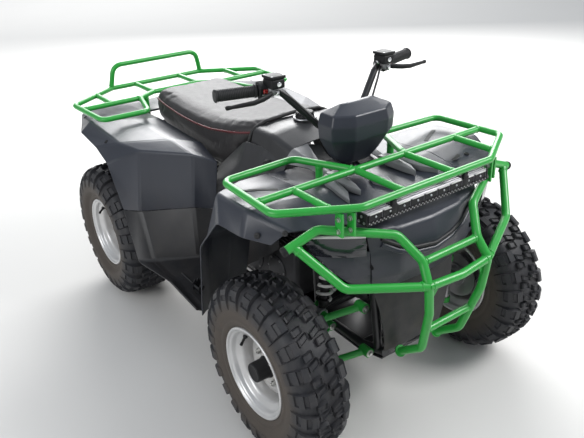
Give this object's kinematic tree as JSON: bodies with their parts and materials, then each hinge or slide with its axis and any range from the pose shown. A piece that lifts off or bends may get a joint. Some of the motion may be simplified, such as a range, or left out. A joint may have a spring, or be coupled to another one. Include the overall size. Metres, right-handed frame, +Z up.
{
  "type": "quad bike",
  "caption": "All-terrain quad bike with tube racks and bumper, moulded fenders, padded seat, steered front wheels and a solid rear axle.",
  "frame": {"origin": "on the ground under the middle of the machine", "axes": "+Z up, -Y towards the nose, -X towards the rider's right"},
  "size_m": [1.026, 1.8608, 1.0587],
  "materials": {
    "green_steel": "powder coat, satin",
    "black_steel": "powder coat, satin",
    "body_plastic": "moulded, satin with fine grain",
    "tank_plastic": "moulded, fine grain",
    "foot_plastic": "ribbed moulding",
    "lens_dark": "tinted lens",
    "lens_red": "tinted lens",
    "seat_vinyl": "grained vinyl with red seam",
    "rim_silver": "silver paint",
    "tyre": "block tread rubber",
    "hub_steel": "machined",
    "cap_black": "cap",
    "grip_rubber": "ribbed grip",
    "control_black": "satin",
    "cast_alloy": "as cast",
    "light_alloy": "finned housing",
    "spring_grey": "spring paint",
    "exhaust_black": "heat paint",
    "hose_black": "sheathed"
  },
  "bodies": {
    "root": {"front_rack": "green_steel", "rear_rack": "green_steel", "bumper": "green_steel", "light_bar": "light_alloy", "frame": "black_steel", "engine": "cast_alloy", "skid_plate": "black_steel", "front_arms_left": "green_steel", "front_arms_right": "green_steel", "front_shocks": "spring_grey", "swingarm": "black_steel", "rear_shocks": "spring_grey", "muffler": "exhaust_black", "tow_hitch": "black_steel", "rear_fender": "body_plastic", "tail_lamps": "lens_red", "footboard_left": "foot_plastic", "footboard_right": "foot_plastic", "front_fender_left": "body_plastic", "front_fender_right": "body_plastic", "nose_panel": "body_plastic", "headlights": "lens_dark", "tank_cover": "tank_plastic", "fuel_cap": "cap_black", "seat": "seat_vinyl"},
    "steering": {"steering_column": "black_steel", "handlebar": "black_steel", "grips": "grip_rubber", "controls": "control_black", "pod": "body_plastic", "cables": "hose_black"},
    "knuckle_left": {"knuckle_left": "hub_steel"},
    "tie_rod_left": {"tie_rod_left": "black_steel"},
    "front_wheel_left": {"front_rim_left": "rim_silver", "front_tyre_left": "tyre", "front_hub_left": "hub_steel"},
    "knuckle_right": {"knuckle_right": "hub_steel"},
    "tie_rod_right": {"tie_rod_right": "black_steel"},
    "front_wheel_right": {"front_rim_right": "rim_silver", "front_tyre_right": "tyre", "front_hub_right": "hub_steel"},
    "rear_wheels": {"rear_axle": "hub_steel", "rear_rims": "rim_silver", "rear_tyres": "tyre"}
  },
  "joints": [
    {"name": "steering_turn", "type": "hinge", "parent": "root", "child": "steering", "pos_m": [0, -0.4, 0.865], "axis": [0, 0.2756, 0.9613], "range_deg": [-35, 35]},
    {"name": "kingpin_left", "type": "hinge", "parent": "root", "child": "knuckle_left", "pos_m": [0.322, -0.6, 0.279], "axis": [0, 0, 1], "range_deg": [-35.5, 35.5]},
    {"name": "tie_rod_left_pivot", "type": "hinge", "parent": "knuckle_left", "child": "tie_rod_left", "pos_m": [0.338, -0.53, 0.315], "axis": [0, 0, 1], "range_deg": [-35.5, 35.5]},
    {"name": "front_wheel_left_spin", "type": "hinge", "parent": "knuckle_left", "child": "front_wheel_left", "pos_m": [0.424, -0.6, 0.279], "axis": [1, 0, 0], "continuous": true},
    {"name": "kingpin_right", "type": "hinge", "parent": "root", "child": "knuckle_right", "pos_m": [-0.322, -0.6, 0.279], "axis": [0, 0, 1], "range_deg": [-35.5, 35.5]},
    {"name": "tie_rod_right_pivot", "type": "hinge", "parent": "knuckle_right", "child": "tie_rod_right", "pos_m": [-0.338, -0.53, 0.315], "axis": [0, 0, 1], "range_deg": [-35.5, 35.5]},
    {"name": "front_wheel_right_spin", "type": "hinge", "parent": "knuckle_right", "child": "front_wheel_right", "pos_m": [-0.424, -0.6, 0.279], "axis": [1, 0, 0], "continuous": true},
    {"name": "rear_wheels_spin", "type": "hinge", "parent": "root", "child": "rear_wheels", "pos_m": [0, 0.543, 0.279], "axis": [1, 0, 0], "continuous": true}
  ],
  "couplings": [
    {"joint": "kingpin_left", "follows": "steering_turn", "ratio": 1},
    {"joint": "tie_rod_left_pivot", "follows": "steering_turn", "ratio": -1},
    {"joint": "kingpin_right", "follows": "steering_turn", "ratio": 1},
    {"joint": "tie_rod_right_pivot", "follows": "steering_turn", "ratio": -1}
  ]
}
